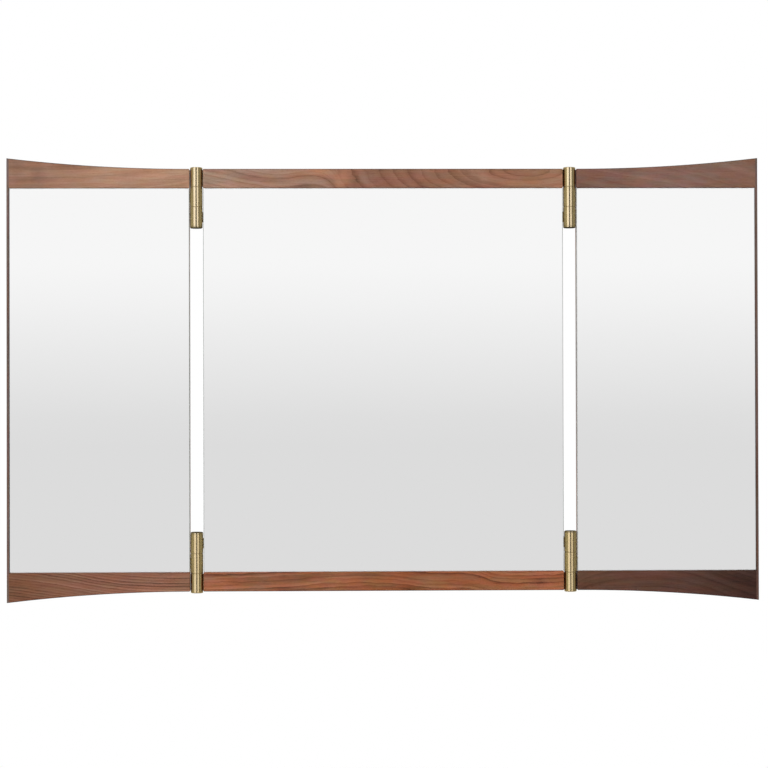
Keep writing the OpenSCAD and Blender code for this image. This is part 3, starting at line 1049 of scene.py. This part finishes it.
@dataclass(frozen=True)
class LightPanel:
    """A tall light panel beside the camera, from a near azimuth to a far one in degrees.

    At the window's height its near edge is cut back, by degrees too, and both its edges are soft.
    """

    near: float
    far: float
    glow: Colour
    cutback: float = 1.5
    soft: float = 2.5

    def cover(self, turn: Wire, window: Wire) -> Wire:
        """Give the panel's share of what is seen.

        Args:
            turn: The azimuth, counted towards the panel's side.
            window: How much of this height the window behind the camera takes.

        Returns:
            1 inside the panel and 0 outside it.
        """
        angles = (self.near, self.far, self.cutback, self.soft / 2)
        near, far, cutback, soft = (math.radians(angle) for angle in angles)
        begun = (turn - window * cutback).rise(near - soft, near + soft)
        return begun * (1.0 - turn.rise(far - soft, far + soft))


@dataclass(frozen=True)
class Surroundings:
    """The studio that the glass and the brass reflect. The camera sees it as white.

    Behind the camera stands a low wide window, with dark strips above and below it and a tall light panel
    on each side. A dim corner lies past the right panel, grey walls go round, and a pale roof closes it.
    Spans are degrees: azimuths from the viewer's side, or heights from the horizon. The window's glow is
    what the silver leaves of it, at shares of the span in which it brightens.
    """

    silver: float = 0.95
    window_glow: Points = (
        (0.0, 0.7157), (0.16, 0.7341), (0.33, 0.7758), (0.60, 0.8410),
        (0.77, 0.8840), (0.94, 0.9160), (1.0, 0.9216),
    )
    brightening: Span = (-1.09, 3.71)
    window_foot: Span = (-5.3, -4.8)
    window_head: Span = (6.0, 6.5)
    window_side: Span = (12.5, 15.5)
    gap_side: Span = (11.0, 13.0)
    gap_glow: float = 0.02
    left_glow: float = 0.68
    right_glow: float = 0.50
    corner_near: Span = (39.0, 41.0)
    corner_far: Span = (54.0, 64.0)
    corner_height: Span = (14.0, 24.0)
    corner_glow: Colour = (0.19, 0.178, 0.15)
    behind: Span = (105.0, 145.0)
    back_glow: float = 0.9
    left_panel: LightPanel = LightPanel(12.0, 50.0, (2.22, 2.25, 2.38))
    right_panel: LightPanel = LightPanel(12.0, 40.5, (2.02, 2.02, 2.02))
    panel_rise: float = 1.5
    panel_least: float = 0.1
    panel_foot: Span = (-16.0, -8.0)
    foot_share: float = 0.5
    roof: Span = (25.0, 60.0)
    roof_glow: float = 0.6

    def build(self) -> None:
        """Make the world."""
        world = bpy.data.worlds.new("studio")
        world.use_nodes = True
        bpy.context.scene.world = world
        graph = Graph(world.node_tree)
        way = graph.split(graph.node("ShaderNodeTexCoord", {}, {}, "Generated"))
        turn = graph.math("ARCTAN2", way[Axis.X.value], way[Axis.Y.value] * -1.0)
        lift = graph.math("ARCSINE", way[Axis.Z.value])
        window = lift.past(self.window_foot) * (1.0 - lift.past(self.window_head))
        around = self._walls(graph, turn, lift)
        gap = (1.0 - window) * (1.0 - abs(turn).past(self.gap_side))
        around = graph.mix(gap, around, grey(self.gap_glow))
        graded = self._grading(graph, lift)
        for panel, way_round in ((self.left_panel, -1.0), (self.right_panel, 1.0)):
            lit = graph.scale(graph.join(*panel.glow), graded)
            around = graph.mix(panel.cover(turn * way_round, window), around, lit)
        around = graph.mix(lift.past(self.roof), around, grey(self.roof_glow))
        camera = graph.node("ShaderNodeLightPath", {}, {}, "Is Camera Ray")
        through = graph.node("ShaderNodeLightPath", {}, {}, "Is Transmission Ray")
        shown = graph.mix(graph.math("MAXIMUM", camera, through), around, WHITE)
        sky = graph.node("ShaderNodeBackground", {}, {"Color": shown, "Strength": 1.0})
        graph.node("ShaderNodeOutputWorld", {}, {"Surface": sky})

    def _walls(self, graph: Graph, turn: Wire, lift: Wire) -> Wire:
        """Paint the window and the walls.

        Args:
            graph: The world's node tree.
            turn: The azimuth in radians, above 0 to the right.
            lift: The height above the horizon in radians.

        Returns:
            The light that comes from each direction, before the panels and the roof.
        """
        foot, head = (math.radians(angle) for angle in self.brightening)
        stops = [(place, grey(level / self.silver)) for place, level in self.window_glow]
        around = graph.node("ShaderNodeValToRGB", {"stops": stops}, {0: (lift - foot) / (head - foot)})
        sides = abs(turn).past(self.window_side)
        rightwards = turn.rise(-0.01, 0.0)
        around = graph.mix(sides * rightwards, around, grey(self.right_glow))
        around = graph.mix(sides * (1.0 - rightwards), around, grey(self.left_glow))
        corner = turn.past(self.corner_near) * (1.0 - turn.past(self.corner_far))
        corner = corner * (1.0 - abs(lift).past(self.corner_height))
        around = graph.mix(corner, around, self.corner_glow)
        return graph.mix(abs(turn).past(self.behind), around, grey(self.back_glow))

    def _grading(self, graph: Graph, lift: Wire) -> Wire:
        """Give how bright the light panels are at each height, brighter at the head and dim at the foot."""
        graded = graph.math("MAXIMUM", 1.0 + lift * self.panel_rise, self.panel_least)
        return graded * (lift.past(self.panel_foot) * (1.0 - self.foot_share) + self.foot_share)


@dataclass(frozen=True)
class Floor:
    """A pale floor below the object, which fades out into the white background. Lengths are metres."""

    drop: float = 0.52
    fade_from: float = 0.7
    fade_to: float = 1.45
    pale: Colour = linear(222, 221, 218)
    rim: float = 0.05
    segments: int = 96

    def build(self, low: Vector, high: Vector) -> None:
        """Lay the floor under the object.

        Args:
            low: The lowest corner of the object's box.
            high: The highest corner of the object's box.
        """
        mesh = bpy.data.meshes.new("floor")
        shape = bmesh.new()
        radius = self.fade_to + self.rim
        bmesh.ops.create_circle(shape, cap_ends=True, segments=self.segments, radius=radius)
        shape.to_mesh(mesh)
        shape.free()
        floor = bpy.data.objects.new("floor", mesh)
        floor.location = ((low.x + high.x) / 2, 0.0, low.z - self.drop)
        bpy.context.scene.collection.objects.link(floor)
        mesh.materials.append(self._material())
        floor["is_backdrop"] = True
        log.info("floor")

    def _material(self) -> bpy.types.Material:
        """Make the floor's material.

        Returns:
            A new material, matt under the object and clear at the rim.
        """
        made = bpy.data.materials.new("pale_floor")
        made.use_nodes = True
        graph = Graph(made.node_tree)
        spot = graph.split(graph.node("ShaderNodeTexCoord", {}, {}, "Object"))
        away = graph.math("SQRT", spot[0] * spot[0] + spot[1] * spot[1])
        matt = graph.node("ShaderNodeBsdfDiffuse", {}, {"Color": (*self.pale, 1.0)})
        clear = graph.node("ShaderNodeBsdfTransparent")
        share = away.rise(self.fade_from, self.fade_to)
        both = graph.node("ShaderNodeMixShader", {}, {0: share, 1: matt, 2: clear})
        graph.node("ShaderNodeOutputMaterial", {}, {"Surface": both})
        return made


@dataclass(frozen=True)
class Viewpoint:
    """The camera of the photograph, a little left of the middle and turned by small angles in degrees.

    The spot is metres, the sensor's width millimetres and the focal length pixels of the frame.
    """

    spot: Triple = (-0.0765, -3.86, -0.3858)
    yaw: float = 1.152
    pitch: float = 0.511
    roll: float = -0.148
    focal_pixels: float = 2219.0
    frame_pixels: float = 768.0
    sensor: float = 36.0

    def place(self) -> None:
        """Set up the camera and make it the scene's own."""
        yaw, pitch, roll = (math.radians(angle) for angle in (self.yaw, self.pitch, self.roll))
        ahead = Vector((math.sin(yaw) * math.cos(pitch), math.cos(yaw) * math.cos(pitch), math.sin(pitch)))
        level = Vector((math.cos(yaw), -math.sin(yaw), 0.0))
        above = level.cross(ahead)
        right = level * math.cos(roll) + above * math.sin(roll)
        over = above * math.cos(roll) - level * math.sin(roll)
        data = bpy.data.cameras.new("camera")
        data.sensor_width = self.sensor
        data.lens = self.focal_pixels / self.frame_pixels * self.sensor
        camera = bpy.data.objects.new("camera", data)
        turn = Matrix((right, over, -ahead)).transposed()
        camera.matrix_world = Matrix.Translation(self.spot) @ turn.to_4x4()
        bpy.context.scene.collection.objects.link(camera)
        bpy.context.scene.camera = camera
        log.info("camera")


@dataclass(frozen=True)
class Studio:
    """The camera, floor, lamp and surroundings."""

    viewpoint: Viewpoint = Viewpoint()
    floor: Floor = Floor()
    surroundings: Surroundings = Surroundings()
    lamp: Lamp = Lamp(
        "overhead_softbox", azimuth=-8.0, elevation=48.0, distance=3.6, width=2.6, height=1.6, power=19.0
    )

    def build(self, low: Vector, high: Vector) -> None:
        """Set the studio round the object's box.

        Args:
            low: The lowest corner of the object's box.
            high: The highest corner of the object's box.
        """
        self.viewpoint.place()
        self.floor.build(low, high)
        self.surroundings.build()
        self.lamp.place((low + high) / 2)
        bpy.context.scene.view_settings.view_transform = "Standard"


def centre_panel() -> CentrePanel:
    """Choose the centre panel's boards.

    Returns:
        The panel with its boards.
    """
    return CentrePanel(
        top_rail=Board(
            tones=(linear(153, 122, 105), linear(129, 91, 75), linear(145, 106, 83)),
            line=(
                (0.0, 0.0), (0.07, -9.0), (0.15, -20.0), (0.21, -24.0), (0.295, -19.5),
                (0.33, -22.0), (0.355, -31.0), (0.38, -48.0), (0.42, -62.0), (1.0, -70.0),
            ),
            ring_pitch=7.5,
            ring_depth=0.36,
            band_depth=0.40,
            wander=6.0,
            tint_depth=0.42,
            seed=1.3,
            marks=(
                Mark(0.386, 13.0, 12.0, 15.0, 0.34, 0.9),
                Mark(0.33, 27.0, 28.0, 6.0, 0.22, 0.7),
                Mark(0.26, 22.0, 40.0, 12.0, 0.0, 0.35),
                Mark(0.28, 3.0, 18.0, 5.0, -0.30, -0.2),
                Mark(0.425, 15.0, 8.0, 22.0, -0.18),
                Mark(0.02, 14.0, 22.0, 12.0, -0.16, -0.2),
                Mark(0.78, 14.0, 8.0, 14.0, 0.14),
            ),
            outward=1.0,
            swirl=Swirl(0.90, 15.0, 0.28, 24.0, 0.345, 0.39),
        ),
        bottom_rail=Board(
            tones=(linear(152, 101, 74), linear(132, 82, 53), linear(139, 85, 58)),
            line=(
                (0.0, 0.0), (0.20, 5.0), (0.33, 10.0), (0.50, 11.0), (0.63, 3.0),
                (0.74, 0.0), (0.82, -14.0), (0.88, -17.0), (1.0, -14.0),
            ),
            ring_pitch=6.5,
            ring_depth=0.62,
            band_depth=0.55,
            ripple=5.5,
            tint_depth=0.68,
            seed=5.1,
            marks=(
                Mark(0.215, 4.0, 24.0, 4.5, -0.30),
                Mark(0.57, 4.0, 18.0, 4.0, -0.30),
                Mark(0.925, 15.0, 14.0, 4.5, -0.24),
                Mark(0.38, 26.0, 26.0, 5.0, 0.18),
                Mark(0.64, 18.0, 26.0, 8.0, 0.14),
            ),
            outward=-1.0,
        ),
    )


def left_wing() -> Wing:
    """Choose the left wing's boards.

    Returns:
        The wing with its boards.
    """
    return Wing(
        name="left_wing",
        top_rail=Board(
            tones=(linear(139, 105, 88), linear(159, 124, 103), linear(165, 128, 105)),
            line=((0.0, 0.0), (0.5, 3.0), (1.0, 20.0)),
            ring_pitch=5.0,
            ring_depth=0.13,
            band_depth=0.22,
            tint_depth=0.3,
            seed=8.6,
            marks=(
                Mark(0.32, 38.0, 45.0, 6.0, -0.26),
                Mark(0.16, 24.0, 12.0, 12.0, -0.20, -0.2),
                Mark(0.07, 13.0, 24.0, 3.0, -0.18),
                Mark(0.04, 30.0, 10.0, 12.0, -0.10),
            ),
            outward=1.0,
        ),
        bottom_rail=Board(
            tones=(linear(116, 80, 59), linear(131, 91, 73), linear(146, 104, 83)),
            line=((0.0, 0.0), (0.3, -13.0), (0.55, -27.0), (0.75, -33.0), (1.0, -34.0)),
            ring_pitch=4.8,
            ring_depth=0.76,
            band_depth=0.38,
            wander=5.0,
            tint_depth=0.36,
            seed=11.9,
            outward=-1.0,
        ),
        strip=Board(
            tones=(linear(102, 80, 71), linear(107, 89, 82), linear(110, 92, 86)),
            grain=Axis.Z,
            ring_depth=0.10,
            seed=14.2,
        ),
    )


def right_wing() -> Wing:
    """Choose the right wing's boards.

    Returns:
        The wing with its boards.
    """
    return Wing(
        name="right_wing",
        top_rail=Board(
            tones=(linear(117, 86, 73), linear(123, 93, 82), linear(122, 93, 77)),
            line=((0.0, 0.0), (0.3, -16.0), (0.6, -34.0), (1.0, -70.0)),
            ring_pitch=13.0,
            seed=17.4,
            marks=(Mark(0.56, 33.0, 30.0, 8.0, -0.12),),
            outward=1.0,
        ),
        bottom_rail=Board(
            tones=(linear(85, 57, 43), linear(85, 57, 47), linear(58, 37, 30)),
            line=(
                (0.0, 0.0), (0.1, 13.0), (0.3, 22.0), (0.5, 23.0),
                (0.7, 8.0), (0.85, -10.0), (1.0, -26.0),
            ),
            ring_pitch=7.5,
            ring_depth=0.34,
            band_depth=0.40,
            seed=20.8,
            outward=-1.0,
        ),
        strip=Board(
            tones=(linear(84, 62, 52), linear(94, 74, 66), linear(98, 78, 70)),
            grain=Axis.Z,
            ring_depth=0.10,
            seed=23.1,
        ),
    )


def main() -> None:
    logging.basicConfig(level=logging.INFO, format="%(message)s")
    low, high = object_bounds()
    paints = Paintbox()
    for panel in (centre_panel(), left_wing(), right_wing()):
        panel.finish(paints)
    for side in Side:
        for end in End:
            BarrelHinge(side, end).finish(paints)
    HangingHardware().finish(paints)
    Studio().build(low, high)


if __name__ == "__main__":
    main()
